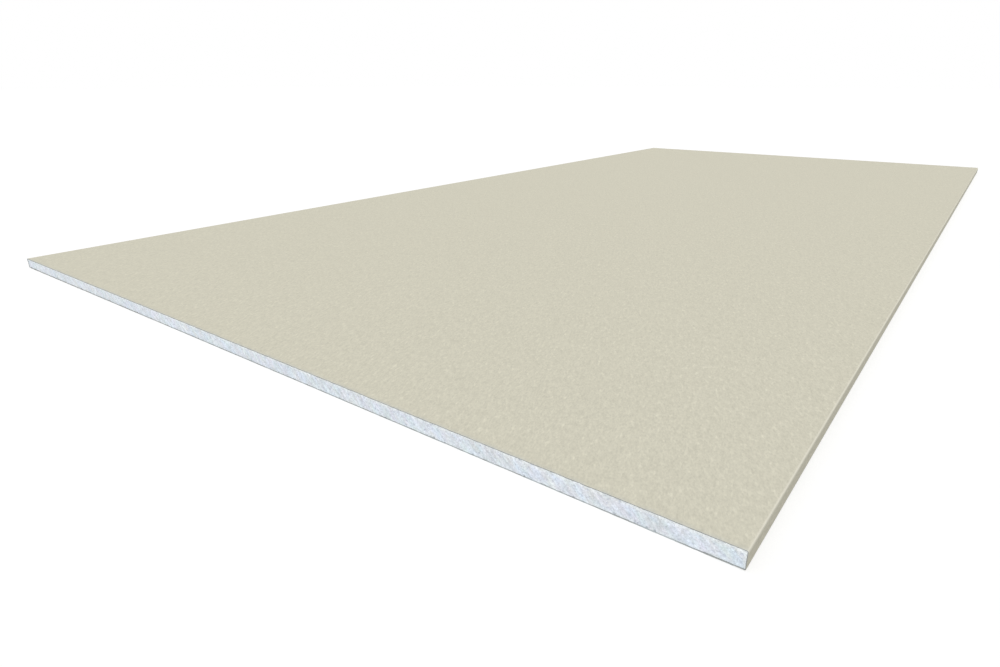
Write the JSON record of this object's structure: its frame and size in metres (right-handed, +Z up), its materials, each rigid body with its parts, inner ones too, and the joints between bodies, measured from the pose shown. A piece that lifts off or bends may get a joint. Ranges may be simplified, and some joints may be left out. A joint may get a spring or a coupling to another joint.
{
  "type": "drywall sheet",
  "caption": "Flat rectangular gypsum board with square paper-wrapped long edges and sawn ends that show the core, screwed over studs or joists to line walls and ceilings.",
  "frame": {"origin": "centre of the sheet's outline, on the plane of its back, which is the surface that it lies on", "axes": "+X across the sheet, +Y along it between the sawn ends, +Z up out of the face"},
  "size_m": [1.2192, 2.4384, 0.0159],
  "materials": {
    "gypsum_core": "matte",
    "face_paper": "matte",
    "back_paper": "matte"
  },
  "bodies": {
    "root": {"gypsum_core": "gypsum_core", "face_paper": "face_paper", "back_paper": "back_paper"}
  },
  "joints": []
}
